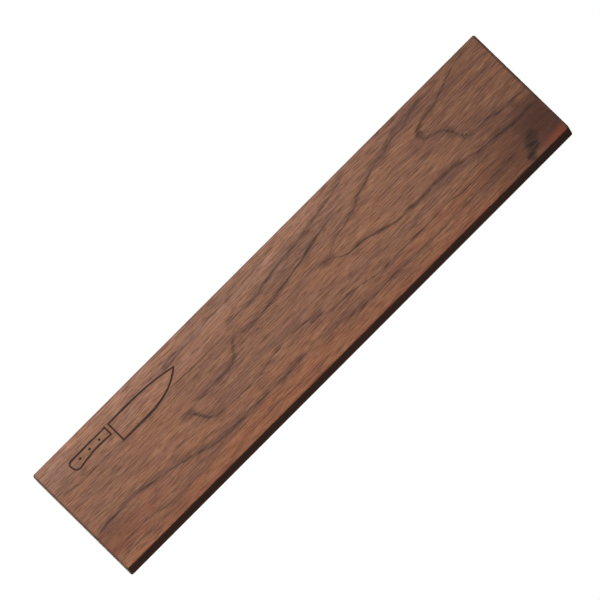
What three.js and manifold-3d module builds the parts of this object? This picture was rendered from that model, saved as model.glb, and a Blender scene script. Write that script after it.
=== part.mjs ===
// A wall-mounted magnetic knife bar: a solid walnut board with disc magnets let in behind its face,
// steel keeper strips behind the magnets, a screwed back panel and two keyhole hanger plates.
//
// Millimetres. The bar is modelled as it lies on its back: X along its length, Y across its height,
// Z out from the wall. The group at the end stands it up, so that the face looks along -Y, Z is up
// and the wall is the plane y = 0, with the origin midway between the two keyholes.

import * as THREE from 'three';
import { mergeVertices } from 'three/addons/utils/BufferGeometryUtils.js';
import Module from 'manifold-3d';

const wasm = await Module();
wasm.setup();

// ---------------------------------------------------------------- driving dimensions

// Walnut board. Its thickness is the sum of the layers below.
const BAR_LENGTH = 500;
const BAR_HEIGHT = 110;
const CORNER_RADIUS = 2; // at the four corners, seen from the front
const EDGE_EASE = 0.8; // rounding of the front and back arrises
const FACE_WEB = 3.1; // wood left between the magnets and the face

// Room between pieces that seat in or on each other.
const SEAT_GAP = 0.3;

// Back panel, let into a rebate in the board.
const RIM_WIDTH = 11; // wood left around the rebate
const REBATE_RADIUS = 6;
const PANEL_THICKNESS = 9;

// Rubber pads at the back.
const PAD_DIAMETER = 12;
const PAD_THICKNESS = 3;
const PAD_PROUD = 1.5; // how far they stand out behind the board
const PAD_EDGE = 0.5;
const PAD_INSET_X = 25; // from the rebate's sides to a pad's centre
const PAD_INSET_Y = 11;

// Magnets, in two rows.
const MAGNET_DIAMETER = 25;
const MAGNET_THICKNESS = 9;
const MAGNETS_PER_ROW = 9; // an odd number
const MAGNET_END_INSET = 50; // from the bar's end to the last magnet's centre
const ROW_INSET = 18; // from the rebate's long side to a row's centre line

// Steel keeper strips, one behind each row.
const KEEPER_OVERHANG = 0.5; // how far a strip reaches past its magnets on each side
const KEEPER_THICKNESS = 3;
const KEEPER_END_GAP = 6; // from the rebate's end to the strip's end
const KEEPER_SCREW_INSET = 8; // from the strip's end to its last screw
const KEEPER_SCREW_COVER = 3.7; // wood left in front of a keeper screw's tip

// Keyhole plates.
const PLATE_LENGTH = 52;
const PLATE_WIDTH = 22;
const PLATE_THICKNESS = 2;
const PLATE_SCREW_OFFSET = 18; // from the plate's centre to each of its screws
const PLATE_END_INSET = 50; // from the bar's end to the plate's centre
const PLATE_SCREW_COVER = 1; // panel left in front of a hanger screw's tip
const KEYHOLE_ENTRY_DIAMETER = 9.5; // takes the head of a 4 mm wall screw
const KEYHOLE_SLOT_WIDTH = 5; // takes its shank
const KEYHOLE_TRAVEL = 9; // from the entry's centre up to the slot's end
const HEAD_ROOM_SIDE = 0.5; // space around the screw head behind the plate

// Wood screws: shank diameter, head diameter and head height of each size.
const SCREW_3_5 = { shank: 3.5, head: 6.8, sink: 2 };
const SCREW_3 = { shank: 3, head: 5.8, sink: 1.7 };
const HEAD_LAND = 0.2; // straight rim at the top of a countersunk head
const SCREW_POINT = 3;
const CROSS_ARM = 0.55; // length of the cross recess, of the head's diameter
const CROSS_WIDTH = 0.9;
const CROSS_DEPTH = 1.1;
const PANEL_SCREW_BITE = 7; // how far the panel's screws reach past the panel
const PANEL_SCREW_INSET_X = 6.5; // from the rebate's sides to a corner screw
const PANEL_SCREW_INSET_Y = 5;
const PANEL_MID_SCREW_SPACING = 60; // between the panel's screws on its centre line

// Burnt mark on the face: the outline of a kitchen knife.
const MARK_LENGTH = 117;
const MARK_HEIGHT = 20;
const MARK_HANDLE_LENGTH = 43;
const MARK_HANDLE_HEIGHT = 9.2;
const MARK_BOLSTER_GAP = 2.4; // plain wood between handle and blade
const MARK_FROM_END = 26; // from the bar's left end
const MARK_FROM_TOP = 23.2; // from the bar's top edge to the mark's middle
const MARK_STROKE = 1.6;
const MARK_DEPTH = 0.4;
const MARK_RIVET = 2.4;

// Facets around a full circle.
const ROUND_FINE = 32;
const ROUND_MAGNET = 24;
const ROUND_SCREW = 12;
const ROUND_CORNER = 24;
const BEVEL_STEPS = 3;
const CUT_PAST = 1; // how far a cutter runs past the face it opens

// ---------------------------------------------------------------- levels out from the wall

const BOARD_BACK = PAD_PROUD;
const PANEL_FRONT = BOARD_BACK + PANEL_THICKNESS;
const REBATE_FLOOR = PANEL_FRONT + SEAT_GAP;
const KEEPER_BACK = REBATE_FLOOR;
const KEEPER_FRONT = KEEPER_BACK + KEEPER_THICKNESS;
const GROOVE_FLOOR = KEEPER_FRONT + SEAT_GAP;
const MAGNET_BACK = GROOVE_FLOOR;
const MAGNET_FRONT = MAGNET_BACK + MAGNET_THICKNESS;
const POCKET_FLOOR = MAGNET_FRONT + SEAT_GAP;
const BOARD_FRONT = POCKET_FLOOR + FACE_WEB;
const BAR_THICKNESS = BOARD_FRONT - BOARD_BACK;

const KEEPER_SCREW_TIP = BOARD_FRONT - KEEPER_SCREW_COVER;
const PANEL_SCREW_TIP = PANEL_FRONT + PANEL_SCREW_BITE;
const PLATE_SCREW_TIP = PANEL_FRONT - PLATE_SCREW_COVER;

// ---------------------------------------------------------------- places on the bar

const REBATE_LENGTH = BAR_LENGTH - 2 * RIM_WIDTH;
const REBATE_HEIGHT = BAR_HEIGHT - 2 * RIM_WIDTH;
const ROW_Y = REBATE_HEIGHT / 2 - ROW_INSET;
const ROWS = [['upper', ROW_Y], ['lower', -ROW_Y]];
const KEEPER_LENGTH = REBATE_LENGTH - 2 * KEEPER_END_GAP;
const KEEPER_WIDTH = MAGNET_DIAMETER + 2 * KEEPER_OVERHANG;
const MAGNET_PITCH = (BAR_LENGTH - 2 * MAGNET_END_INSET) / (MAGNETS_PER_ROW - 1);
const PLATE_X = BAR_LENGTH / 2 - PLATE_END_INSET;
const SIDES = [['left', -1], ['right', 1]];
const KEYHOLE_ENTRY_Y = -KEYHOLE_TRAVEL / 2;

const magnetXs = Array.from({ length: MAGNETS_PER_ROW }, (_, i) => (
  (i - (MAGNETS_PER_ROW - 1) / 2) * MAGNET_PITCH
));

// The strips' inner screws stand midway between two magnets.
const keeperScrewXs = [
  -(KEEPER_LENGTH / 2 - KEEPER_SCREW_INSET),
  -1.5 * MAGNET_PITCH,
  1.5 * MAGNET_PITCH,
  KEEPER_LENGTH / 2 - KEEPER_SCREW_INSET,
];

function panelScrewPlaces() {
  const cornerX = REBATE_LENGTH / 2 - PANEL_SCREW_INSET_X;
  const cornerY = REBATE_HEIGHT / 2 - PANEL_SCREW_INSET_Y;
  const corners = [[-1, 1], [1, 1], [-1, -1], [1, -1]].map(([i, j]) => [i * cornerX, j * cornerY]);
  const middle = [-1.5, -0.5, 0.5, 1.5].map((i) => [i * PANEL_MID_SCREW_SPACING, 0]);
  return [...corners, ...middle];
}

function padPlaces() {
  const x = REBATE_LENGTH / 2 - PAD_INSET_X;
  const y = REBATE_HEIGHT / 2 - PAD_INSET_Y;
  return ROWS.flatMap(([row, rowY]) => SIDES.map(([side, way]) => (
    [`${row}_${side}`, way * x, Math.sign(rowY) * y]
  )));
}

// ---------------------------------------------------------------- solids

function toSolid(geometry) {
  const bare = geometry.clone();
  bare.deleteAttribute('normal');
  bare.deleteAttribute('uv');
  const merged = mergeVertices(bare, 1e-4);
  return new wasm.Manifold(new wasm.Mesh({
    numProp: 3,
    vertProperties: Float32Array.from(merged.attributes.position.array),
    triVerts: Uint32Array.from(merged.index.array),
  }));
}

function toGeometry(solid) {
  const { vertProperties, triVerts } = solid.getMesh();
  const geometry = new THREE.BufferGeometry();
  geometry.setAttribute('position', new THREE.BufferAttribute(Float32Array.from(vertProperties), 3));
  geometry.setIndex(new THREE.BufferAttribute(Uint32Array.from(triVerts), 1));
  const faceted = geometry.toNonIndexed();
  faceted.computeVertexNormals();
  return faceted;
}

// Takes every cutter out of a blank.
function carve(blank, cutters) {
  return cutters.reduce((solid, cutter) => solid.subtract(toSolid(cutter)), toSolid(blank));
}

// A flat shape made thick, from one level out to another.
function slab(shape, from, to, x = 0, y = 0) {
  const geometry = new THREE.ExtrudeGeometry(shape, { depth: to - from, bevelEnabled: false });
  return geometry.translate(x, y, from);
}

// A round rod or hole along Z.
function rod(diameter, from, to, x, y, segments) {
  const geometry = new THREE.CylinderGeometry(diameter / 2, diameter / 2, to - from, segments);
  return geometry.rotateX(Math.PI / 2).translate(x, y, (from + to) / 2);
}

// A turned piece about Z, from a profile of [radius, level] points, the lowest level first, that
// starts and ends on the axis.
function turned(profile, segments, x, y) {
  const points = profile.map(([radius, level]) => new THREE.Vector2(radius, level));
  return new THREE.LatheGeometry(points, segments).rotateX(Math.PI / 2).translate(x, y, 0);
}

// Points on an arc, with as many to the circle as `round` says.
function arc(x, y, radius, start, end, round) {
  const steps = Math.ceil(round * (end - start) / (2 * Math.PI));
  return Array.from({ length: steps + 1 }, (_, i) => {
    const angle = start + (end - start) * (i / steps);
    return new THREE.Vector2(x + radius * Math.cos(angle), y + radius * Math.sin(angle));
  });
}

function roundedRectangle(length, height, radius) {
  const x = length / 2 - radius;
  const y = height / 2 - radius;
  const quarter = Math.PI / 2;
  const corners = [[x, -y], [x, y], [-x, y], [-x, -y]];
  return new THREE.Shape(corners.flatMap(([cornerX, cornerY], i) => (
    arc(cornerX, cornerY, radius, (i - 1) * quarter, i * quarter, ROUND_CORNER)
  )));
}

// A bar with full-radius ends, lying along X or standing along Y.
function stadium(length, width, upright = false) {
  const reach = (length - width) / 2;
  const turn = upright ? Math.PI / 2 : 0;
  const dx = upright ? 0 : reach;
  const dy = upright ? reach : 0;
  return new THREE.Shape([
    ...arc(dx, dy, width / 2, turn - Math.PI / 2, turn + Math.PI / 2, ROUND_FINE),
    ...arc(-dx, -dy, width / 2, turn + Math.PI / 2, turn + 1.5 * Math.PI, ROUND_FINE),
  ]);
}

// ---------------------------------------------------------------- screws

// The outline of a countersunk screw whose head is flush with the level `top`, grown by `room`.
function screwProfile(size, top, tip, room = 0) {
  const shank = size.shank / 2 + room;
  const head = size.head / 2 + room;
  return [
    [0, top],
    [head, top],
    [head, top + HEAD_LAND],
    [shank, top + size.sink],
    [shank, tip - SCREW_POINT + room],
    [0, tip + room],
  ];
}

function woodScrew(size, top, tip, x, y) {
  const blank = turned(screwProfile(size, top, tip), ROUND_SCREW, x, y);
  const arm = CROSS_ARM * size.head;
  const level = top + CROSS_DEPTH / 2 - CUT_PAST / 2;
  const cross = [[arm, CROSS_WIDTH], [CROSS_WIDTH, arm]].map(([across, up]) => (
    new THREE.BoxGeometry(across, up, CROSS_DEPTH + CUT_PAST).translate(x, y, level)
  ));
  return carve(blank, cross);
}

// The hole for such a screw, with clearance, opened a little past the head's face.
function screwHole(size, top, tip, x, y) {
  const profile = screwProfile(size, top, tip, SEAT_GAP);
  const head = size.head / 2 + SEAT_GAP;
  profile.splice(0, 2, [0, top - CUT_PAST], [head, top - CUT_PAST]);
  return turned(profile, ROUND_SCREW, x, y);
}

// ---------------------------------------------------------------- burnt mark

// Moves every side of a closed outline inwards by the same distance.
function inset(outline, distance) {
  const count = outline.length;
  return outline.map((point, i) => {
    const before = point.clone().sub(outline[(i + count - 1) % count]).normalize();
    const after = outline[(i + 1) % count].clone().sub(point).normalize();
    const normal = new THREE.Vector2(-before.y - after.y, before.x + after.x);
    const bend = before.dot(after);
    return point.clone().addScaledVector(normal, distance / (1 + bend));
  });
}

// A closed line of constant width, drawn inside an outline that runs counter-clockwise.
function strokeAlong(outline) {
  const shape = new THREE.Shape(outline);
  shape.holes.push(new THREE.Path(inset(outline, MARK_STROKE)));
  return shape;
}

// Samples a path, dropping points that repeat.
function outlineOf(path, divisions) {
  const points = path.getPoints(divisions);
  return points.filter((point, i) => point.distanceTo(points[(i + 1) % points.length]) > 0.01);
}

// The blade, edge down, from its heel at x = 0 to its tip. Its curves' points are shares of its size.
function bladeOutline(length, height) {
  const top = height / 2;
  const path = new THREE.Path();
  path.moveTo(0, -top);
  path.lineTo(length * 0.42, -top);
  path.bezierCurveTo(length * 0.68, -top, length * 0.9, -top * 0.3, length, top * 0.5);
  path.bezierCurveTo(length * 0.8, top * 0.82, length * 0.6, top, length * 0.36, top);
  path.lineTo(0, top);
  return outlineOf(path, 10);
}

// The handle, with a swell at its butt, from the bolster at x = 0 back to the left, drawn likewise.
function handleOutline(length, height) {
  const top = MARK_HEIGHT / 2;
  const low = top - height;
  const path = new THREE.Path();
  path.moveTo(0, low);
  path.lineTo(0, top);
  path.lineTo(-length * 0.86, top);
  path.quadraticCurveTo(-length, top, -length, top - height * 0.4);
  path.quadraticCurveTo(-length * 0.99, low - height * 0.28, -length * 0.84, low - height * 0.22);
  path.quadraticCurveTo(-length * 0.5, low + height * 0.16, 0, low);
  return outlineOf(path, 8);
}

function markCutters() {
  const bladeLength = MARK_LENGTH - MARK_HANDLE_LENGTH - MARK_BOLSTER_GAP;
  const left = -BAR_LENGTH / 2 + MARK_FROM_END;
  const bolster = left + MARK_HANDLE_LENGTH;
  const heel = bolster + MARK_BOLSTER_GAP;
  const middle = BAR_HEIGHT / 2 - MARK_FROM_TOP;
  const rivetY = middle + (MARK_HEIGHT - MARK_HANDLE_HEIGHT) / 2;
  const from = BOARD_FRONT - MARK_DEPTH;
  const to = BOARD_FRONT + CUT_PAST;
  const rivets = [1, 2, 3].map((i) => (
    rod(MARK_RIVET, from, to, left + i * MARK_HANDLE_LENGTH / 4, rivetY, ROUND_SCREW)
  ));
  return [
    slab(strokeAlong(handleOutline(MARK_HANDLE_LENGTH, MARK_HANDLE_HEIGHT)), from, to, bolster, middle),
    slab(strokeAlong(bladeOutline(bladeLength, MARK_HEIGHT)), from, to, heel, middle),
    ...rivets,
  ];
}

// ---------------------------------------------------------------- the pieces

function boardBlank() {
  const shape = roundedRectangle(BAR_LENGTH, BAR_HEIGHT, CORNER_RADIUS);
  const geometry = new THREE.ExtrudeGeometry(shape, {
    depth: BAR_THICKNESS - 2 * EDGE_EASE,
    bevelThickness: EDGE_EASE,
    bevelSize: EDGE_EASE,
    bevelOffset: -EDGE_EASE,
    bevelSegments: BEVEL_STEPS,
  });
  return geometry.translate(0, 0, BOARD_BACK + EDGE_EASE);
}

function walnutBody() {
  const rebate = roundedRectangle(REBATE_LENGTH, REBATE_HEIGHT, REBATE_RADIUS);
  const groove = stadium(KEEPER_LENGTH + 2 * SEAT_GAP, KEEPER_WIDTH + 2 * SEAT_GAP);
  const pocket = MAGNET_DIAMETER + 2 * SEAT_GAP;
  const rowCutters = ROWS.flatMap(([, y]) => [
    slab(groove, REBATE_FLOOR - CUT_PAST, GROOVE_FLOOR, 0, y),
    ...magnetXs.map((x) => rod(pocket, GROOVE_FLOOR - CUT_PAST, POCKET_FLOOR, x, y, ROUND_MAGNET)),
    ...keeperScrewXs.map((x) => screwHole(SCREW_3_5, KEEPER_BACK, KEEPER_SCREW_TIP, x, y)),
  ]);
  const panelPilots = panelScrewPlaces().map(([x, y]) => (
    screwHole(SCREW_3_5, BOARD_BACK, PANEL_SCREW_TIP, x, y)
  ));
  return carve(boardBlank(), [
    slab(rebate, BOARD_BACK - CUT_PAST, REBATE_FLOOR),
    ...rowCutters,
    ...panelPilots,
    ...markCutters(),
  ]);
}

function magnet(x, y) {
  return toSolid(rod(MAGNET_DIAMETER, MAGNET_BACK, MAGNET_FRONT, x, y, ROUND_MAGNET));
}

function keeperStrip(y) {
  const strip = slab(stadium(KEEPER_LENGTH, KEEPER_WIDTH), KEEPER_BACK, KEEPER_FRONT, 0, y);
  return carve(strip, keeperScrewXs.map((x) => screwHole(SCREW_3_5, KEEPER_BACK, KEEPER_SCREW_TIP, x, y)));
}

function plateScrewXs(way) {
  return [-1, 1].map((i) => way * PLATE_X + i * PLATE_SCREW_OFFSET);
}

function plateScrewHoles(way) {
  return plateScrewXs(way).map((x) => screwHole(SCREW_3, BOARD_BACK, PLATE_SCREW_TIP, x, 0));
}

// The space behind a keyhole for the wall screw's head, as far up as the slot lets it go.
function headRoom(way) {
  const width = KEYHOLE_ENTRY_DIAMETER + 2 * HEAD_ROOM_SIDE;
  const space = stadium(KEYHOLE_TRAVEL + width, width, true);
  return slab(space, BOARD_BACK - CUT_PAST, PANEL_FRONT + CUT_PAST, way * PLATE_X, 0);
}

function backPanel() {
  const outline = roundedRectangle(
    REBATE_LENGTH - 2 * SEAT_GAP,
    REBATE_HEIGHT - 2 * SEAT_GAP,
    REBATE_RADIUS - SEAT_GAP,
  );
  const recess = stadium(PLATE_LENGTH + 2 * SEAT_GAP, PLATE_WIDTH + 2 * SEAT_GAP);
  const recessFloor = BOARD_BACK + PLATE_THICKNESS + SEAT_GAP;
  const hangers = SIDES.flatMap(([, way]) => [
    slab(recess, BOARD_BACK - CUT_PAST, recessFloor, way * PLATE_X, 0),
    headRoom(way),
    ...plateScrewHoles(way),
  ]);
  const pads = padPlaces().map(([, x, y]) => (
    rod(PAD_DIAMETER + 2 * SEAT_GAP, BOARD_BACK - CUT_PAST, PAD_THICKNESS + SEAT_GAP, x, y, ROUND_MAGNET)
  ));
  const screws = panelScrewPlaces().map(([x, y]) => screwHole(SCREW_3_5, BOARD_BACK, PANEL_SCREW_TIP, x, y));
  return carve(slab(outline, BOARD_BACK, PANEL_FRONT), [...hangers, ...pads, ...screws]);
}

function hangerPlate(way) {
  const x = way * PLATE_X;
  const front = BOARD_BACK + PLATE_THICKNESS;
  const slot = stadium(KEYHOLE_TRAVEL + KEYHOLE_SLOT_WIDTH, KEYHOLE_SLOT_WIDTH, true);
  return carve(slab(stadium(PLATE_LENGTH, PLATE_WIDTH), BOARD_BACK, front, x, 0), [
    rod(KEYHOLE_ENTRY_DIAMETER, BOARD_BACK - CUT_PAST, front + CUT_PAST, x, KEYHOLE_ENTRY_Y, ROUND_FINE),
    slab(slot, BOARD_BACK - CUT_PAST, front + CUT_PAST, x, 0),
    ...plateScrewHoles(way),
  ]);
}

function bumperPad(x, y) {
  const radius = PAD_DIAMETER / 2;
  const profile = [
    [0, 0],
    [radius - PAD_EDGE, 0],
    [radius, PAD_EDGE],
    [radius, PAD_THICKNESS],
    [0, PAD_THICKNESS],
  ];
  return toSolid(turned(profile, ROUND_MAGNET, x, y));
}

// ---------------------------------------------------------------- finishes

function finish(color, roughness, metalness) {
  return new THREE.MeshStandardMaterial({ color, roughness, metalness });
}

const walnut = finish(0x825d4b, 0.55, 0);
const walnutVeneer = finish(0x7a5642, 0.6, 0);
const ferrite = finish(0x3a3b3e, 0.6, 0.2);
const keeperSteel = finish(0x8d9196, 0.45, 1);
const plateSteel = finish(0xa9adb1, 0.35, 1);
const zincScrew = finish(0xbfc2c6, 0.3, 1);
const rubber = finish(0x232323, 0.85, 0);

// ---------------------------------------------------------------- assembly

const bar = new THREE.Group();
bar.rotation.x = Math.PI / 2;

function place(name, solid, material) {
  const mesh = new THREE.Mesh(toGeometry(solid), material);
  mesh.name = name;
  bar.add(mesh);
}

place('walnut_body', walnutBody(), walnut);
place('back_panel', backPanel(), walnutVeneer);

for (const [row, y] of ROWS) {
  magnetXs.forEach((x, i) => place(`magnet_${row}_${i + 1}`, magnet(x, y), ferrite));
  place(`keeper_strip_${row}`, keeperStrip(y), keeperSteel);
  keeperScrewXs.forEach((x, i) => {
    const screw = woodScrew(SCREW_3_5, KEEPER_BACK, KEEPER_SCREW_TIP, x, y);
    place(`keeper_screw_${row}_${i + 1}`, screw, zincScrew);
  });
}

panelScrewPlaces().forEach(([x, y], i) => {
  place(`panel_screw_${i + 1}`, woodScrew(SCREW_3_5, BOARD_BACK, PANEL_SCREW_TIP, x, y), zincScrew);
});

for (const [side, way] of SIDES) {
  place(`hanger_plate_${side}`, hangerPlate(way), plateSteel);
  plateScrewXs(way).forEach((x, i) => {
    place(`hanger_screw_${side}_${i + 1}`, woodScrew(SCREW_3, BOARD_BACK, PLATE_SCREW_TIP, x, 0), zincScrew);
  });
}

for (const [corner, x, y] of padPlaces()) {
  place(`bumper_pad_${corner}`, bumperPad(x, y), rubber);
}

export default bar;
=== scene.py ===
"""A wall-mounted magnetic knife bar in solid walnut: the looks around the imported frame.

The board's places are worked out in millimetres along it, from its left end, and down it, from its
top edge, because that is how a maker marks one out.
"""

import math

import bmesh
import bpy
from mathutils import Matrix, Vector


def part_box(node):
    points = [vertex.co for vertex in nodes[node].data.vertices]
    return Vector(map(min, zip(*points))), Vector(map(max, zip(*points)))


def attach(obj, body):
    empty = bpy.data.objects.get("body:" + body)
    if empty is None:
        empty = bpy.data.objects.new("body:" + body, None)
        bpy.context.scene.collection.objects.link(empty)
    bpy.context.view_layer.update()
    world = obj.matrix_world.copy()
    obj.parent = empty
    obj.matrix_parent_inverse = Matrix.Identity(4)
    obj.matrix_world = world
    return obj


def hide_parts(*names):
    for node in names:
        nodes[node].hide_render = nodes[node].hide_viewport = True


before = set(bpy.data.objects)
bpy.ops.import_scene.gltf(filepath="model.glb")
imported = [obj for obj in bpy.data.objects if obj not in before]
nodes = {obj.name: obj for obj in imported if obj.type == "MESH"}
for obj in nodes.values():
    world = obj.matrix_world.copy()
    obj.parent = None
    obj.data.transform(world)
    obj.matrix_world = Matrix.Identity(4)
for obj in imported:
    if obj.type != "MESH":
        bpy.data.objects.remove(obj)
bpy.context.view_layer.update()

MM = 0.001
board_low, board_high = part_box("walnut_body")
BOARD_LEFT = board_low[0] / MM
BOARD_TOP = board_high[2] / MM
BOARD_FACE = board_low[1] / MM
BOARD_LENGTH = (board_high[0] - board_low[0]) / MM
BOARD_HEIGHT = (board_high[2] - board_low[2]) / MM
PANEL_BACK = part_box("back_panel")[1][1] / MM
MARK_MIDDLE = (85, 23.2)  # along and down, as is its size
MARK_SIZE = (120, 24)

# Camera: azimuth, elevation and roll in degrees, distance in metres, lens and sensor in millimetres,
# and how far its aim stands right of the bar's middle and above it.
CAMERA_ANGLES = (-2.526, -14.342, -45.661)
CAMERA_DISTANCE = 12
CAMERA_LENS = 900
CAMERA_SENSOR = 36
CAMERA_AIM = (1.06 * MM, 4.52 * MM)

FLOOR_RADIUS = 2.6
FLOOR_LEVEL = -1.05
FLOOR_SIDES = 96

PLY_PAIR = 3  # a light ply and a dark one, in millimetres

# Pieces that are turned or softened, in metres.
THREAD_PITCH = 1.5 * MM
SCREW_POINT = 2.4 * MM
CORE_SHARE = 0.68  # of the shank's radius, below the thread
MAGNET_CHAMFER = 0.6 * MM
WELD = 0.001 * MM  # joins the corners that two faces share
HEAD_WELD = 0.01 * MM  # the same after a screw's recess is cut
SLIVER = 0.005 * MM  # closes faces too thin to see

# Angles between two faces that meet.
SMOOTH_UP_TO = math.radians(32)
FLAT_UP_TO = math.radians(1)
EASED_FROM = math.radians(40)


# ---------------------------------------------------------------- camera, light and floor

def set_camera():
    """Looks up at the bar from a little below and left, with the frame rolled by an eighth of a turn."""
    azimuth, elevation, roll = (math.radians(angle) for angle in CAMERA_ANGLES)
    aim = Vector((CAMERA_AIM[0], (board_low[1] + board_high[1]) / 2, CAMERA_AIM[1]))
    back = Vector((
        math.sin(azimuth) * math.cos(elevation),
        -math.cos(azimuth) * math.cos(elevation),
        math.sin(elevation),
    ))
    level = (-back).cross(Vector((0, 0, 1))).normalized()
    up = level.cross(-back)
    right = level * math.cos(roll) + up * math.sin(roll)
    top = -level * math.sin(roll) + up * math.cos(roll)
    data = bpy.data.cameras.new("camera")
    data.sensor_width = CAMERA_SENSOR
    data.lens = CAMERA_LENS
    data.clip_end = 50
    camera = bpy.data.objects.new("camera", data)
    bpy.context.collection.objects.link(camera)
    camera.matrix_world = Matrix((
        (right.x, top.x, back.x, 0),
        (right.y, top.y, back.y, 0),
        (right.z, top.z, back.z, 0),
        (0, 0, 0, 1),
    ))
    camera.location = aim + back * CAMERA_DISTANCE
    bpy.context.scene.camera = camera


def add_lamp(name, place, target, size, power, spread=180):
    data = bpy.data.lights.new(name, "AREA")
    data.shape = "RECTANGLE"
    data.size, data.size_y = size
    data.energy = power
    data.spread = math.radians(spread)
    lamp = bpy.data.objects.new(name, data)
    bpy.context.collection.objects.link(lamp)
    lamp.location = place
    lamp.rotation_euler = (Vector(target) - Vector(place)).to_track_quat("-Z", "Y").to_euler()


def set_light():
    add_lamp("key", (-1.5, -2.0, 1.1), (-0.05, 0, 0), (1.2, 1.2), 9.5, spread=70)
    add_lamp("front_fill", (0.9, -2.8, 0.5), (0, 0, 0), (1.5, 1.5), 3, spread=70)
    add_lamp("back_key", (1.2, 2.2, 1.2), (0, 0, 0), (1.2, 1.2), 12, spread=70)
    add_lamp("back_fill", (-1.5, 2.2, 0.4), (0, 0, 0), (1.2, 1.2), 5, spread=70)
    add_lamp("overhead", (0, 0, 1.9), (0, 0, 0), (1.6, 1.6), 5, spread=100)


def set_world():
    """A white backdrop for the camera, and a soft room for the light: bright above, dim below."""
    world = bpy.data.worlds.new("studio")
    world.use_nodes = True
    bpy.context.scene.world = world
    tree = world.node_tree
    tree.nodes.clear()
    place = tree.nodes.new("ShaderNodeTexCoord")
    split = tree.nodes.new("ShaderNodeSeparateXYZ")
    height = tree.nodes.new("ShaderNodeMapRange")
    height.interpolation_type = "SMOOTHSTEP"
    height.inputs["From Min"].default_value = -0.35
    height.inputs["From Max"].default_value = 0.45
    height.inputs["To Min"].default_value = 0.14
    height.inputs["To Max"].default_value = 0.42
    room = tree.nodes.new("ShaderNodeBackground")
    backdrop = tree.nodes.new("ShaderNodeBackground")
    backdrop.inputs["Color"].default_value = (1, 1, 1, 1)
    path = tree.nodes.new("ShaderNodeLightPath")
    mix = tree.nodes.new("ShaderNodeMixShader")
    out = tree.nodes.new("ShaderNodeOutputWorld")
    link = tree.links.new
    link(place.outputs["Generated"], split.inputs[0])
    link(split.outputs["Z"], height.inputs["Value"])
    link(height.outputs[0], room.inputs["Strength"])
    link(path.outputs["Is Camera Ray"], mix.inputs[0])
    link(room.outputs[0], mix.inputs[1])
    link(backdrop.outputs[0], mix.inputs[2])
    link(mix.outputs[0], out.inputs[0])


def lay_floor():
    """A pale round floor, well below the bar and lit evenly."""
    mesh = bpy.data.meshes.new("floor")
    turns = [2 * math.pi * i / FLOOR_SIDES for i in range(FLOOR_SIDES)]
    rim = [(FLOOR_RADIUS * math.cos(turn), FLOOR_RADIUS * math.sin(turn), FLOOR_LEVEL) for turn in turns]
    mesh.from_pydata(rim, [], [range(FLOOR_SIDES)])
    floor = bpy.data.objects.new("floor", mesh)
    bpy.context.collection.objects.link(floor)
    glow = (1, 0.99, 0.97, 1)
    paint = Finish("pale_floor", Roughness=0.9, Emission_Color=glow, Emission_Strength=0.68)
    mottle = paint.noise(paint.place() * (1 / 300), detail=2)
    paint.surface(paint.mix(mottle, linear("e3e2df"), linear("ebeae8")))
    mesh.materials.append(paint.material)
    floor.visible_diffuse = floor.visible_glossy = False


# ---------------------------------------------------------------- node maths

def linear(code):
    """A colour from its screen code, such as 8a6450."""
    shares = [int(code[i:i + 2], 16) / 255 for i in (0, 2, 4)]
    return tuple(s / 12.92 if s <= 0.04045 else ((s + 0.055) / 1.055) ** 2.4 for s in shares)


class Val:
    """A socket that carries a number and takes part in sums."""

    def __init__(self, graph, socket):
        self.graph, self.socket = graph, socket

    def _sum(self, operation, *values):
        made = self.graph.node("ShaderNodeMath", {"operation": operation}, dict(enumerate(values)))
        return Val(self.graph, made.outputs[0])

    def __add__(self, other): return self._sum("ADD", self, other)
    def __radd__(self, other): return self._sum("ADD", other, self)
    def __sub__(self, other): return self._sum("SUBTRACT", self, other)
    def __rsub__(self, other): return self._sum("SUBTRACT", other, self)
    def __mul__(self, other): return self._sum("MULTIPLY", self, other)
    def __rmul__(self, other): return self._sum("MULTIPLY", other, self)
    def __truediv__(self, other): return self._sum("DIVIDE", self, other)
    def __rtruediv__(self, other): return self._sum("DIVIDE", other, self)
    def __pow__(self, other): return self._sum("POWER", self, other)
    def __abs__(self): return self._sum("ABSOLUTE", self)

    def at_least(self, other): return self._sum("MAXIMUM", self, other)
    def root(self): return self._sum("SQRT", self)
    def sine(self): return self._sum("SINE", self)
    def cosine(self): return self._sum("COSINE", self)


class Point(Val):
    """A socket that carries a place, in millimetres."""

    def __mul__(self, other):
        factors = {0: self, 1: spread(other)}
        made = self.graph.node("ShaderNodeVectorMath", {"operation": "MULTIPLY"}, factors)
        return Point(self.graph, made.outputs[0])


def spread(value):
    """One number for each axis."""
    return value if isinstance(value, (tuple, Val)) else (value, value, value)


class Graph:
    """A tree of nodes, for a finish or for a shape."""

    def feed(self, socket, value):
        """Links a value, or each of a list of them, to a socket, or sets the socket to a constant."""
        if isinstance(value, (Val, list)):
            for source in value if isinstance(value, list) else [value]:
                self.tree.links.new(source.socket, socket)
            return
        size = getattr(socket.default_value, "__len__", lambda: 0)()
        socket.default_value = (*value, 1)[:size] if size else value

    def node(self, kind, settings, sockets):
        made = self.tree.nodes.new(kind)
        for name, value in settings.items():
            setattr(made, name, value)
        for name, value in sockets.items():
            self.feed(made.inputs[name], value)
        return made

    def split(self, point):
        made = self.node("ShaderNodeSeparateXYZ", {}, {0: point})
        return [Val(self, made.outputs[i]) for i in range(3)]

    def join(self, x, y, z):
        return Point(self, self.node("ShaderNodeCombineXYZ", {}, {0: x, 1: y, 2: z}).outputs[0])


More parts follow.
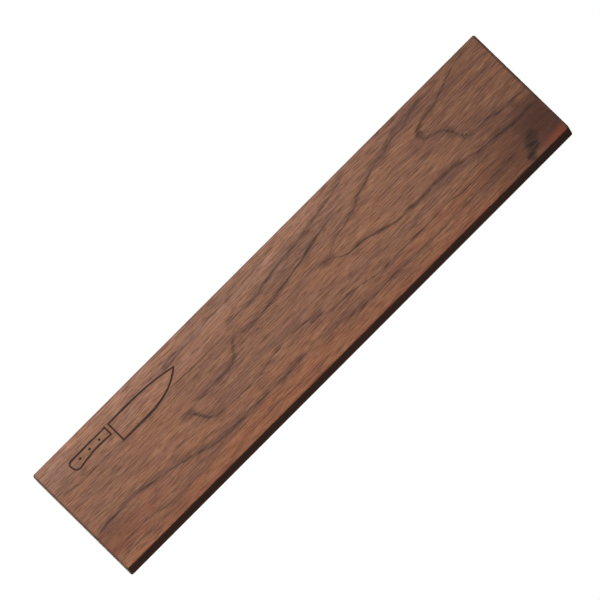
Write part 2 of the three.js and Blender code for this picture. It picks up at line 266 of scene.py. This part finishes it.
class Finish(Graph):
    """One material and the nodes that make it."""

    def __init__(self, name, **constants):
        self.material = bpy.data.materials.new(name)
        self.material.use_nodes = True
        self.tree = self.material.node_tree
        self.tree.nodes.clear()
        self.shader = self.tree.nodes.new("ShaderNodeBsdfPrincipled")
        out = self.tree.nodes.new("ShaderNodeOutputMaterial")
        self.tree.links.new(self.shader.outputs[0], out.inputs[0])
        for socket, value in constants.items():
            self.shader.inputs[socket.replace("_", " ")].default_value = value

    def place(self):
        """The point on the piece, in millimetres."""
        made = self.node("ShaderNodeTexCoord", {}, {})
        return Point(self, made.outputs["Object"]) * 1000

    def noise(self, point, detail=0, roughness=0.5, wander=0):
        made = self.node("ShaderNodeTexNoise", {}, {
            "Vector": point, "Scale": 1, "Detail": detail, "Roughness": roughness, "Distortion": wander,
        })
        return Val(self, made.outputs["Fac"])

    def ramp(self, value, low, high, start=0, end=1):
        """Goes smoothly from start to end as a value goes from low to high."""
        made = self.node("ShaderNodeMapRange", {"interpolation_type": "SMOOTHSTEP"}, {
            "Value": value, "From Min": low, "From Max": high, "To Min": start, "To Max": end,
        })
        return Val(self, made.outputs[0])

    def mix(self, share, first, second):
        made = self.node("ShaderNodeMix", {"data_type": "RGBA"}, {0: share, 6: first, 7: second})
        return Val(self, made.outputs[2])

    def curve(self, value, points):
        """A smooth curve through given points, both ways from 0 to 1."""
        made = self.node("ShaderNodeFloatCurve", {}, {"Value": value})
        line = made.mapping.curves[0]
        line.points[0].location, line.points[1].location = points[0], points[-1]
        for point in points[1:-1]:
            line.points.new(*point)
        for point in line.points:
            point.handle_type = "AUTO_CLAMPED"
        made.mapping.update()
        return Val(self, made.outputs[0])

    def relief(self, height, depth):
        """Bumps the surface by a height from 0 to 1, with its depth in millimetres."""
        made = self.node("ShaderNodeBump", {}, {"Strength": 1, "Distance": depth * MM, "Height": height})
        self.tree.links.new(made.outputs[0], self.shader.inputs["Normal"])

    def surface(self, color, **changing):
        for socket, value in {"Base Color": color, **changing}.items():
            self.tree.links.new(value.socket, self.shader.inputs[socket])


# ---------------------------------------------------------------- walnut

class Walnut(Finish):
    """Solid walnut, cut from one block: its grain runs on from the face over the edges and ends."""

    def __init__(self, name, **constants):
        super().__init__(name, **constants)
        x, y, z = self.split(self.place())
        self.depth = y - BOARD_FACE
        self.along = x - BOARD_LEFT
        self.down = BOARD_TOP - z + self.depth * 0.35
        drift = self.noise(self.join(self.along / 90, self.down / 24, self.depth / 60), detail=1) - 0.5
        self.flow = self.down + drift * 7
        wobble = self.noise(self.join(self.along / 8, self.down / 4, self.depth / 9), detail=1) - 0.5
        self.wavering = self.down + wobble * 1.8
        patchy = self.noise(self.join(self.along / 11, self.down / 2.5, self.depth / 9), detail=2)
        self.worn = self.ramp(patchy, 0.35, 0.62, 0.5, 1)
        thickness = self.noise(self.join(self.along / 16, self.down / 30, 0.5))
        self.swell = self.ramp(thickness, 0.3, 0.7, 0.5, 1.5)
        self.dark = self.worn * 0
        self.haze = self.worn * 0

    def streaks(self, length, width, detail=1, wander=0, shift=0):
        """Noise drawn out along the grain, its cells this long and this wide in millimetres."""
        cell = self.join(self.along / length + shift, self.flow / width, self.depth / (width * 2))
        return self.noise(cell, detail=detail, wander=wander)

    def ring_line(self, points, width, strength, haze, fade, haze_width=6):
        """A dark growth line through given points, in millimetres along and down the face.

        The haze is how strong the soft grey band is that lies above the line."""
        start, end = points[0][0], points[-1][0]
        reach = end - start
        places = [((x - start) / reach, y / BOARD_HEIGHT) for x, y in points]
        share = (self.along - start) / reach
        here = self.curve(share, places) * BOARD_HEIGHT
        ahead = self.curve(share + 0.01, places) * BOARD_HEIGHT
        slope = (ahead - here) / (0.01 * reach)
        below = (self.wavering - here) / (slope * slope + 1).root()
        inside = self.ramp(self.along, start, start + fade[0])
        inside = inside * self.ramp(self.along, end - fade[1], end, 1, 0)
        away = abs(below) / self.swell
        self.dark = self.dark.at_least(self.ramp(away, 0, width * 1.2, strength, 0) * inside)
        band = self.ramp(below, -haze_width, -0.2 * haze_width, 0, haze) * self.ramp(below, 0, 1.5, 1, 0)
        shoulder = self.ramp(away, 0, width * 3, strength * 0.55, 0)
        come_in = self.ramp(self.along, start, start + 9)
        self.haze = self.haze.at_least(band.at_least(shoulder) * inside * come_in)

    def inside_mark(self):
        """1 inside the rectangle that the burnt knife outline fills."""
        half_length, half_height = (size / 2 for size in MARK_SIZE)
        along = self.ramp(abs(self.along - MARK_MIDDLE[0]), half_length, half_length + 1, 1, 0)
        return along * self.ramp(abs(self.down - MARK_MIDDLE[1]), half_height, half_height + 1, 1, 0)

    def away_from(self, x, y):
        return ((self.along - x) ** 2 + (self.wavering - y) ** 2).root()

    def blot(self, x, y, length, width, strength):
        """How near a point is to the middle of a soft oval patch."""
        away = ((self.along - x) / length) ** 2 + ((self.wavering - y) / width) ** 2
        return self.ramp(away, 0, 1, strength, 0)


# Growth lines on the face: width, strength, haze, then places in millimetres along and down.
RING_LINES = [
    (1.5, 0.85, 0.9, [(0, 75), (10, 72), (44, 71), (69, 75), (98, 81), (124, 88), (144, 89.5),
                      (204, 89), (228, 88)]),
    (0.7, 0.8, 0.1, [(0, 31), (11, 30), (25, 32), (60, 32), (86, 33.5), (104, 33), (131, 29.5),
                     (156, 30.5), (192, 30)]),
    (1.1, 0.7, 0.8, [(190, 27.5), (202, 25), (220, 26), (253, 20.5), (286, 18), (308, 14), (336, 8.5),
                     (352, 4)]),
    (1.2, 0.95, 0.4, [(194, 36), (202, 39), (214, 39.5), (245, 36), (271, 32), (281, 29.5),
                      (295, 26.5), (322, 22)]),
    (1.3, 0.7, 0.3, [(133, 51), (144, 52.5), (172, 52), (180, 49), (186, 42), (190, 38), (198, 36)]),
    (0.7, 0.9, 0.1, [(146, 73), (176, 74.5), (191, 73), (208, 69.5), (236, 69), (250, 72.5), (255, 76),
                     (283, 79), (302, 82), (313, 84), (375, 84), (388, 83), (406, 86), (442, 86)]),
    (0.7, 0.6, 0.3, [(0, 100), (44, 101), (80, 102)]),
    (0.6, 0.7, 0.2, [(10, 92), (34, 92), (48, 93), (58, 96), (78, 96.5), (102, 97.5)]),
    (0.6, 0.5, 0.6, [(128, 17), (144, 14.5), (177, 13), (188, 11), (225, 10.5), (253, 8), (272, 5)]),
    (1.0, 0.75, 0.4, [(238, 90), (264, 90.5), (272, 93), (292, 94.5), (328, 94), (358, 95.5),
                      (420, 94), (460, 93.5)]),
    (0.6, 0.6, 0.2, [(140, 102), (170, 101.5), (212, 103)]),
]
# Growth lines that run together at a point, as in a cathedral figure: these start sharply.
TIP_LINES = [
    (1.5, 0.95, 0.2, [(292, 47), (294, 49), (300, 53), (308, 55), (320, 56), (335, 60), (350, 64),
                      (365, 64.5), (406, 65), (424, 68), (435, 70.5), (460, 73.5), (473, 75),
                      (500, 75)]),
    (1.1, 0.7, 0.8, [(292, 47), (294, 44), (298, 42), (306, 38.5), (320, 35.5), (336, 30.5), (341, 27),
                     (357, 22.5), (367, 18.5), (384, 16.5), (388, 14), (406, 12), (424, 7.5), (442, 5)]),
    (1.5, 0.8, 0.3, [(410, 27), (412, 24), (419, 21), (426, 19), (439, 17), (461, 9), (473, 5.5),
                     (490, 3)]),
    (2.0, 0.8, 0.2, [(119, 54.5), (123, 55.5), (126, 58), (129, 63), (132, 68), (138, 72), (152, 73.5)]),
]
# Growth lines that meet at the pin knot: these start and end sharply.
KNOT_LINES = [
    (1.7, 0.9, 0.3, [(410, 27), (412, 31), (419, 34.5), (425, 37), (429, 40), (432, 45), (434, 50),
                     (438, 54)]),
    (1.1, 0.8, 0.4, [(437, 55), (441, 57), (455, 57), (464, 58.5), (473, 61), (500, 61)]),
]
# How far in millimetres each family of lines takes to fade in and out.
FIGURE = [(RING_LINES, (10, 10)), (TIP_LINES, (1.5, 12)), (KNOT_LINES, (1.5, 1.5))]
# Dark smudges: middle along and down, half length, half width, strength.
SMUDGES = [
    (122, 56, 9, 5, 0.7), (238, 37, 11, 4, 0.6), (288, 47, 11, 5, 0.75), (250, 73, 9, 4, 0.6),
    (276, 93, 20, 3.5, 0.5), (412, 27, 5, 6, 0.8), (469, 99, 8, 7, 1.4), (463, 105, 6, 5, 1.5),
    (378, 17, 18, 5, 0.4), (474, 94, 7, 8, 1), (431, 44, 5, 9, 0.4),
]
PIN_KNOT = (438.5, 54)  # along and down
PITH = (48, 55)  # the tree's centre: down from the top edge, and in front of the face

# Screen codes of the walnut's colours. The pore colour also paints shade along the top edge, the
# underside's colour is painted shade, and the end grain's colours also paint shade on the face near each
# end.
WALNUT_COLORS = {
    "pale_left": "b48570", "pale_right": "9e6f5b", "middle": "986851", "warm_low": "995c3e",
    "orange_low": "ad6038", "grey_patch": "74564b", "right_end": "643b2b", "orange_streak": "b57e55",
    "grey_haze": "54403b", "fibre": "5e3c2e", "dark_dash": "432a20", "pale_dash": "bd8a68",
    "dark_hair": "4f3228", "pale_hair": "c0937a", "brown_corner": "4a2b1f", "dark_corner": "42231a",
    "left_patch": "6a3f30", "red_corner": "84402a", "growth_line": "2b1c19", "painted_underside_shade": "6b2a17",
    "knot_rim": "43302a", "knot_ring": "98786a", "knot_heart": "3a2720", "pore": "3a241b",
    "end_dark": "3a231a", "end_light": "5d3d2e", "end_vessel": "1e120d", "scorched": "2e190f",
}


def draw_figure(wood):
    for lines, fade in FIGURE:
        for width, strength, haze, points in lines:
            wood.ring_line(points, width, strength, haze, fade)
    for smudge in SMUDGES:
        wood.dark = wood.dark.at_least(wood.blot(*smudge))


def walnut_finish():
    wood = Walnut("oiled_walnut", Roughness=0.55, Specular_IOR_Level=0.2)
    draw_figure(wood)
    tint = {name: linear(code) for name, code in WALNUT_COLORS.items()}
    ramp, mix, streaks = wood.ramp, wood.mix, wood.streaks
    patch = streaks(130, 16, detail=2)
    tone = streaks(50, 5, detail=2, shift=7.3)
    fibre = streaks(26, 0.9, detail=3, wander=0.5)
    dash = streaks(12, 0.75, detail=2, shift=3.1)
    hair = streaks(16, 0.85, detail=1, shift=5.2)
    pore = streaks(6, 0.42, detail=1, shift=9.7)
    broken = ramp(dash, 0.38, 0.6, 0.65, 0.97) * wood.worn
    scorched = wood.inside_mark() * ramp(wood.depth, 0.04, 0.25) * ramp(wood.depth, 1, 2, 1, 0)
    # End grain on both ends, run a few millimetres onto the face as painted shade of the eased end
    # edges.
    right_end = ramp(BOARD_LENGTH - wood.along, 0.8, 3.2, 1, 0)
    end_grain_and_edge_shade = ramp(wood.along, 0.6, 2.2, 1, 0).at_least(right_end)
    heart = ((wood.down - PITH[0]) ** 2 + (wood.depth + PITH[1]) ** 2).root()
    rings = wood.noise(wood.join(heart / 2.2, wood.down / 60, 0), detail=2)
    vessels = wood.noise(wood.join(wood.down / 0.5, wood.depth / 0.5, wood.along / 6), detail=1)
    end_grain = mix(ramp(rings, 0.35, 0.65), tint["end_dark"], tint["end_light"])
    end_grain = mix(ramp(vessels, 0.58, 0.7) * 0.7, end_grain, tint["end_vessel"])

    ridge = mix(ramp(wood.along, 240, 400), tint["pale_left"], tint["pale_right"])
    color = mix(ramp(wood.down, 3, 42), ridge, tint["middle"])
    color = mix(ramp(wood.flow, 58, 106), color, tint["warm_low"])
    color = mix(ramp(wood.flow, 98, 106) * ramp(patch, 0.4, 0.6) * 0.6, color, tint["orange_low"])
    color = mix(ramp(patch, 0.35, 0.65, 0, 0.55), color, tint["grey_patch"])
    color = mix(ramp(wood.along, 340, 500) * 0.55, color, tint["right_end"])
    color = mix(ramp(tone, 0.35, 0.65) * 0.4, color, tint["orange_streak"])
    color = mix(wood.haze * ramp(dash, 0.35, 0.6, 0.3, 0.65), color, tint["grey_haze"])
    color = mix(ramp(fibre, 0.34, 0.6, 0.5, 0), color, tint["fibre"])
    color = mix(ramp(dash, 0.52, 0.66) * ramp(patch, 0.3, 0.6, 0.3, 0.55), color, tint["dark_dash"])
    color = mix(ramp(dash, 0.42, 0.28) * 0.25, color, tint["pale_dash"])
    color = mix(ramp(hair, 0.52, 0.68) * 0.42, color, tint["dark_hair"])
    color = mix(ramp(hair, 0.46, 0.3) * 0.2, color, tint["pale_hair"])
    color = mix(wood.blot(480, 95, 78, 42, 0.5), color, tint["brown_corner"])
    color = mix(wood.blot(492, 88, 32, 26, 0.7), color, tint["dark_corner"])
    color = mix(wood.blot(8, 84, 46, 16, 0.5), color, tint["left_patch"])
    red_corner = ramp(wood.down, 101, 107) * ramp(wood.along, 470, 488) * ramp(wood.depth, 2, 6, 1, 0)
    color = mix(red_corner * 0.7, color, tint["red_corner"])
    color = mix(wood.dark * broken, color, tint["growth_line"])
    # The underside is painted darker and redder than the face: painted shade of the face that looks
    # down.
    painted_underside_shade = ramp(wood.down, 110.2, 111.5) * ramp(wood.depth, 18, 24, 1, 0)
    color = mix(painted_underside_shade * 0.55, color, tint["painted_underside_shade"])
    away = wood.away_from(*PIN_KNOT)
    color = mix(ramp(away, 1.8, 3) * ramp(away, 3, 5.5, 0.35, 0), color, tint["knot_rim"])
    color = mix(ramp(away, 0.9, 1.8) * ramp(away, 1.8, 3, 0.12, 0), color, tint["knot_ring"])
    color = mix(ramp(away, 0.2, 2, 0.7, 0), color, tint["knot_heart"])
    color = mix(ramp(pore, 0.56, 0.7) * 0.45, color, tint["pore"])
    # A thin dark line along the top edge, in the pore colour: painted shade of the eased top edge.
    color = mix(ramp(wood.down, 0, 1.4, 0.6, 0), color, tint["pore"])
    # The end grain, with its band on the face near each end, which is painted shade.
    color = mix(end_grain_and_edge_shade * 0.92, color, end_grain)
    color = mix(scorched * 0.9, color, tint["scorched"])
    wood.relief(1 - ramp(pore, 0.56, 0.7) * 0.6 - ramp(dash, 0.52, 0.68) * 0.4, 0.06)
    wood.surface(color)
    return wood.material


# ---------------------------------------------------------------- the other finishes

def veneer_finish():
    """Straight-grained walnut veneer over pale plies, which show where the panel is cut."""
    panel = Finish("walnut_veneer", Roughness=0.55, Specular_IOR_Level=0.3)
    ramp, mix, noise = panel.ramp, panel.mix, panel.noise
    x, y, z = panel.split(panel.place())
    inward = PANEL_BACK - y
    sway = (noise(panel.join(x / 140, z / 40, 0.3), detail=1) - 0.5) * 5
    band = noise(panel.join(x / 260, (z + sway) / 7, 0.7), detail=2)
    fibre = noise(panel.join(x / 34, (z + sway) / 1.1, 4.1), detail=2)
    pore = noise(panel.join(x / 5, (z + sway) / 0.42, 8.3), detail=1)
    color = mix(ramp(band, 0.32, 0.68), linear("6f4836"), linear("a07457"))
    color = mix(ramp(fibre, 0.34, 0.62, 0.5, 0), color, linear("5a3a2b"))
    color = mix(ramp(pore, 0.55, 0.7) * 0.5, color, linear("38241b"))
    ply = ramp((inward * (2 * math.pi / PLY_PAIR)).sine(), -0.5, 0.5)
    edge = mix(ply, linear("8f6a47"), linear("c49c70"))
    saw_mark = noise(panel.join(x / 0.8, inward / 0.5, z / 0.8))
    edge = mix(ramp(saw_mark, 0.4, 0.6) * 0.35, edge, linear("6e5036"))
    color = mix(ramp(inward, 0.5, 0.7), color, edge)
    panel.relief(1 - ramp(pore, 0.55, 0.7), 0.04)
    panel.surface(color)
    return panel.material


def ferrite_finish():
    """Pressed ferrite: near black, with a fine sandy face."""
    ferrite = Finish("ferrite", Metallic=0.15)
    ramp, mix, noise = ferrite.ramp, ferrite.mix, ferrite.noise
    place = ferrite.place()
    grit = noise(place * 2.6, detail=2)
    cloud = noise(place * 0.12, detail=2)
    color = mix(ramp(cloud, 0.35, 0.65), linear("2c2b2d"), linear("3b3a3c"))
    color = mix(ramp(grit, 0.55, 0.7) * 0.4, color, linear("5a595b"))
    ferrite.relief(grit, 0.03)
    ferrite.surface(color, Roughness=ramp(grit, 0.3, 0.7, 0.5, 0.72))
    return ferrite.material


def steel_finish(name, dark, light, shine, spread_by, draw):
    """Metal with drawn lines along x, soft clouds of wear and a little dulling."""
    steel = Finish(name, Metallic=1)
    ramp, mix, noise = steel.ramp, steel.mix, steel.noise
    place = steel.place()
    line = noise(place * (1 / draw, 3.5, 3.5), detail=2)
    cloud = noise(place * 0.09, detail=3, roughness=0.6)
    scuff = noise(place * (0.35, 1.6, 0.35), detail=3, roughness=0.65, wander=0.8)
    color = mix(ramp(cloud, 0.35, 0.65), linear(dark), linear(light))
    color = mix(ramp(scuff, 0.6, 0.75) * 0.35, color, linear("8a8880"))
    steel.relief(line, 0.008)
    dull = ramp(cloud, 0.3, 0.7, shine, shine + spread_by) + ramp(line, 0.35, 0.65, -0.04, 0.05)
    steel.surface(color, Roughness=dull + ramp(scuff, 0.6, 0.75) * 0.12)
    return steel.material


def zinc_finish():
    """Bright zinc plating with the faint rainbow of a passivated coat."""
    zinc = Finish("zinc_screw", Metallic=1)
    ramp, mix, noise = zinc.ramp, zinc.mix, zinc.noise
    place = zinc.place()
    cloud = noise(place * 0.3, detail=2)
    grit = noise(place * 3.2, detail=2)
    color = mix(ramp(cloud, 0.38, 0.5), linear("b3b2ac"), linear("b9ae92"))
    color = mix(ramp(cloud, 0.52, 0.64), color, linear("a9aeb4"))
    zinc.relief(grit, 0.01)
    zinc.surface(color, Roughness=ramp(grit, 0.3, 0.7, 0.34, 0.5))
    return zinc.material


def rubber_finish():
    """Moulded black rubber, dusted a little grey."""
    rubber = Finish("rubber", Specular_IOR_Level=0.35)
    ramp, mix, noise = rubber.ramp, rubber.mix, rubber.noise
    place = rubber.place()
    grit = noise(place * 4, detail=2)
    dust = noise(place * 0.35, detail=3, roughness=0.6)
    color = mix(ramp(dust, 0.45, 0.75) * 0.5, linear("1b1a19"), linear("4a4743"))
    rubber.relief(grit, 0.02)
    rubber.surface(color, Roughness=ramp(dust, 0.4, 0.7, 0.7, 0.9))
    return rubber.material


# ---------------------------------------------------------------- pieces turned out by rule

class Jig(Graph):
    """A Geometry Nodes tree that sets one made shape at every place it is given.

    Its sizes are named inputs, in metres. A shape stands on its place and points to the wall."""

    def __init__(self, name, *sizes):
        self.tree = bpy.data.node_groups.new(name, "GeometryNodeTree")
        socket = self.tree.interface.new_socket
        socket("Places", in_out="INPUT", socket_type="NodeSocketGeometry")
        finish = socket("Finish", in_out="INPUT", socket_type="NodeSocketMaterial")
        self.labels = {"Finish": finish.identifier}
        for size in sizes:
            self.labels[size] = socket(size, in_out="INPUT", socket_type="NodeSocketFloat").identifier
        socket("Pieces", in_out="OUTPUT", socket_type="NodeSocketGeometry")
        self.given = self.tree.nodes.new("NodeGroupInput")

    def size(self, name):
        return Val(self, self.given.outputs[name])

    def make(self, kind, settings, sockets):
        """A node's first output, for the nodes that give a mesh or a curve."""
        return Val(self, self.node(kind, settings, sockets).outputs[0])

    def pick(self, index, values):
        """The value whose turn an index is."""
        made = self.node("GeometryNodeIndexSwitch", {"data_type": "FLOAT"}, {0: index})
        while len(made.index_switch_items) < len(values):
            made.index_switch_items.new()
        for i, value in enumerate(values):
            self.feed(made.inputs[i + 1], value)
        return Val(self, made.outputs[0])

    def turned(self, profile, steps=40):
        """A solid turned on a lathe, from pairs of radius and height that start and end on the axis."""
        count = len(profile)
        grid = self.make("GeometryNodeMeshGrid", {}, {
            "Size X": 1, "Size Y": count - 1, "Vertices X": steps + 1, "Vertices Y": count,
        })
        across, level, _ = self.split(self.make("GeometryNodeInputPosition", {}, {}))
        turn = (across + 0.5) * (2 * math.pi)
        index = level + ((count - 1) / 2 + 0.01)
        radius = self.pick(index, [r for r, h in profile])
        height = self.pick(index, [h for r, h in profile])
        ring = self.join(radius * turn.cosine(), radius * turn.sine(), height)
        rolled = self.make("GeometryNodeSetPosition", {}, {"Geometry": grid, "Position": ring})
        return self.make("GeometryNodeMergeByDistance", {}, {"Geometry": rolled, "Distance": WELD})

    def block(self, long, wide, deep, turn=0):
        """A cutter let down from height zero, turned about the axis."""
        cube = self.make("GeometryNodeMeshCube", {}, {"Size": self.join(long, wide, deep * 2)})
        rotation = (0, 0, math.radians(turn))
        return self.make("GeometryNodeTransform", {}, {"Geometry": cube, "Rotation": rotation})

    def set_out(self, shape, seed=None):
        """Sets the shape at every place; with a seed, each is spun by its own amount."""
        placed = self.make("GeometryNodeInstanceOnPoints", {}, {
            "Points": Val(self, self.given.outputs["Places"]),
            "Instance": shape,
            "Rotation": (-math.pi / 2, 0, 0),
        })
        if seed is not None:
            chance = self.node("FunctionNodeRandomValue", {"data_type": "FLOAT"}, {
                3: 2 * math.pi, "Seed": seed,
            })
            spin = self.join(0, 0, Val(self, chance.outputs[1]))
            placed = self.make("GeometryNodeRotateInstances", {}, {
                "Instances": placed, "Rotation": spin,
            })
        real = self.make("GeometryNodeRealizeInstances", {}, {"Geometry": placed})
        finish = Val(self, self.given.outputs["Finish"])
        done = self.make("GeometryNodeSetMaterial", {}, {"Geometry": real, "Material": finish})
        self.node("NodeGroupOutput", {}, {0: done})

    def run(self, name, places, material, **sizes):
        """Runs the tree once and returns its result as a plain object."""
        marks = bpy.data.meshes.new(name + "_places")
        marks.from_pydata(places, [], [])
        blank = bpy.data.objects.new(name + "_places", marks)
        bpy.context.collection.objects.link(blank)
        modifier = blank.modifiers.new("jig", "NODES")
        modifier.node_group = self.tree
        modifier[self.labels["Finish"]] = material
        for size, value in sizes.items():
            modifier[self.labels[size.replace("_", " ")]] = value
        return shown(name, settled(blank))


def settled(blank):
    """The plain mesh that an object's modifiers make; the object itself is done with."""
    mesh = bpy.data.meshes.new_from_object(blank.evaluated_get(bpy.context.evaluated_depsgraph_get()))
    bpy.data.objects.remove(blank)
    return mesh


def put(name, mesh):
    mesh.name = name
    piece = bpy.data.objects.new(name, mesh)
    bpy.context.collection.objects.link(piece)
    return piece


def shown(name, mesh):
    """Puts a mesh in the scene, smooth except over its real edges."""
    mesh.shade_smooth()
    mesh.set_sharp_from_angle(angle=SMOOTH_UP_TO)
    return put(name, mesh)


def screw_jig():
    """A countersunk wood screw with a crossed recess and a rolled thread."""
    jig = Jig("countersunk_screw", "Head", "Shank", "Sink", "Length")
    head, shank = jig.size("Head") / 2, jig.size("Shank") / 2
    sink, length = jig.size("Sink"), jig.size("Length")
    core = shank * CORE_SHARE
    edge, lip, neck, tip = 0.12 * MM, 0.25 * MM, 0.6 * MM, 0.9 * MM
    body = jig.turned([
        (0, 0),
        (head - edge, 0),
        (head, -edge),
        (head, -lip),
        (shank * 1.08, -1 * sink),
        (core, -1 * sink - neck),
        (core, SCREW_POINT - length),
        (core * 0.55, tip - length),
        (0, -1 * length),
    ])
    cutters = [
        jig.block(head * 1.18, head * 0.2, head * 0.44),
        jig.block(head * 0.2, head * 1.18, head * 0.44),
        jig.block(head * 0.52, head * 0.52, head * 0.4, 45),
        jig.block(head * 1.1, head * 0.07, head * 0.1, 45),
        jig.block(head * 0.07, head * 1.1, head * 0.1, 45),
    ]
    cutting = {"operation": "DIFFERENCE", "solver": "MANIFOLD"}
    cut = jig.make("GeometryNodeMeshBoolean", cutting, {0: body, 1: cutters})
    cut = jig.make("GeometryNodeMergeByDistance", {}, {"Geometry": cut, "Distance": HEAD_WELD})
    bare, lift = 3.2 * MM, 1.9 * MM  # what has no thread, and the thread's start above the tip
    threaded = length - sink - bare
    helix = jig.make("GeometryNodeCurveSpiral", {}, {
        "Resolution": 18, "Rotations": threaded / THREAD_PITCH, "Start Radius": core, "End Radius": core,
        "Height": threaded,
    })
    ridge = jig.make("GeometryNodeCurvePrimitiveCircle", {"mode": "RADIUS"}, {
        "Resolution": 4, "Radius": shank - core,
    })
    thread = jig.make("GeometryNodeCurveToMesh", {}, {
        "Curve": helix, "Profile Curve": ridge, "Fill Caps": True,
    })
    down = jig.join(0, 0, lift - length)
    thread = jig.make("GeometryNodeTransform", {}, {"Geometry": thread, "Translation": down})
    jig.set_out(jig.make("GeometryNodeJoinGeometry", {}, {0: [cut, thread]}), seed=5)
    return jig


def magnet_jig():
    """A pressed disc with chamfered rims."""
    jig = Jig("disc_magnet", "Diameter", "Thickness")
    radius, thickness = jig.size("Diameter") / 2, jig.size("Thickness")
    inner = radius - MAGNET_CHAMFER
    jig.set_out(jig.turned([
        (0, 0),
        (inner, 0),
        (radius, MAGNET_CHAMFER),
        (radius, thickness - MAGNET_CHAMFER),
        (inner, thickness),
        (0, thickness),
    ]))
    return jig


def pad_jig():
    """A moulded pad: straight foot, rounded shoulder and a low dome."""
    jig = Jig("domed_pad", "Diameter", "Thickness")
    radius, thickness = jig.size("Diameter") / 2, jig.size("Thickness")
    shape = [(0, 0), (0.97, 0), (1, 0.05), (1, 0.58), (0.985, 0.7), (0.94, 0.81), (0.86, 0.89),
             (0.7, 0.945), (0.45, 0.98), (0.2, 0.996), (0, 1)]
    jig.set_out(jig.turned([(radius * r, thickness * h) for r, h in shape]))
    return jig


# ---------------------------------------------------------------- pieces softened from the frame

def softened(name, source, material, width):
    """A copy of a frame node with its edges rounded over by a width in millimetres."""
    flat = bmesh.new()
    flat.from_mesh(nodes[source].data)
    bmesh.ops.remove_doubles(flat, verts=flat.verts, dist=WELD)
    bmesh.ops.dissolve_limit(flat, angle_limit=FLAT_UP_TO, verts=flat.verts, edges=flat.edges)
    mesh = bpy.data.meshes.new(name)
    flat.to_mesh(mesh)
    flat.free()
    blank = bpy.data.objects.new(name + "_blank", mesh)
    bpy.context.collection.objects.link(blank)
    bevel = blank.modifiers.new("edges", "BEVEL")
    bevel.width, bevel.segments = width * MM, 2
    bevel.limit_method, bevel.angle_limit = "ANGLE", EASED_FROM
    blank.modifiers.new("slivers", "WELD").merge_threshold = SLIVER
    rounded = settled(blank)
    rounded.materials.clear()
    rounded.materials.append(material)
    piece = shown(name + "_rounded", rounded)
    piece.modifiers.new("flat_faces", "WEIGHTED_NORMAL").keep_sharp = True
    return put(name, settled(piece))


def stand_for(piece, names):
    """Lets a made piece take the place of frame nodes."""
    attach(piece, "root")
    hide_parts(*names)


def named(start):
    return sorted(n for n in nodes if n.startswith(start))


def seats(names, side):
    """The middle of each node's wall side, or of its face side."""
    boxes = [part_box(n) for n in names]
    return [((low[0] + high[0]) / 2, high[1] if side == "wall" else low[1], (low[2] + high[2]) / 2)
            for low, high in boxes]


def width_of(name):
    low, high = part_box(name)
    return high[0] - low[0]


def depth_of(name):
    low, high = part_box(name)
    return high[1] - low[1]


def fit_screws(jig, material, start, shank, sink):
    names = named(start)
    screws = jig.run(start + "s", seats(names, "wall"), material, Head=width_of(names[0]),
                     Shank=shank * MM, Sink=sink * MM, Length=depth_of(names[0]))
    stand_for(screws, names)


def fit_discs(jig, material, name, start):
    names = named(start)
    discs = jig.run(name, seats(names, "face"), material, Diameter=width_of(names[0]),
                    Thickness=depth_of(names[0]))
    stand_for(discs, names)


def dress(material, *names):
    for name in names:
        node = nodes[name]
        node.data.materials.clear()
        node.data.materials.append(material)


set_camera()
set_light()
set_world()
lay_floor()
dress(walnut_finish(), "walnut_body")

panel = softened("veneered_panel", "back_panel", veneer_finish(), 0.3)
stand_for(panel, ["back_panel"])
keeper_steel = steel_finish("keeper_steel", "85837f", "9d9a94", 0.34, 0.2, 40)
plate_steel = steel_finish("plate_steel", "9b9ea1", "b4b5b3", 0.42, 0.12, 18)
for row in ("upper", "lower"):
    strip = softened("keeper_" + row, "keeper_strip_" + row, keeper_steel, 0.35)
    stand_for(strip, ["keeper_strip_" + row])
for side in ("left", "right"):
    plate = softened("keyhole_plate_" + side, "hanger_plate_" + side, plate_steel, 0.22)
    stand_for(plate, ["hanger_plate_" + side])

zinc = zinc_finish()
screws = screw_jig()
fit_screws(screws, zinc, "panel_screw", 3.5, 2.0)
fit_screws(screws, zinc, "keeper_screw", 3.5, 2.0)
fit_screws(screws, zinc, "hanger_screw", 3.0, 1.7)
fit_discs(magnet_jig(), ferrite_finish(), "magnets", "magnet_")
fit_discs(pad_jig(), rubber_finish(), "bumper_pads", "bumper_pad")

view = bpy.context.scene.view_settings
view.view_transform = "Standard"
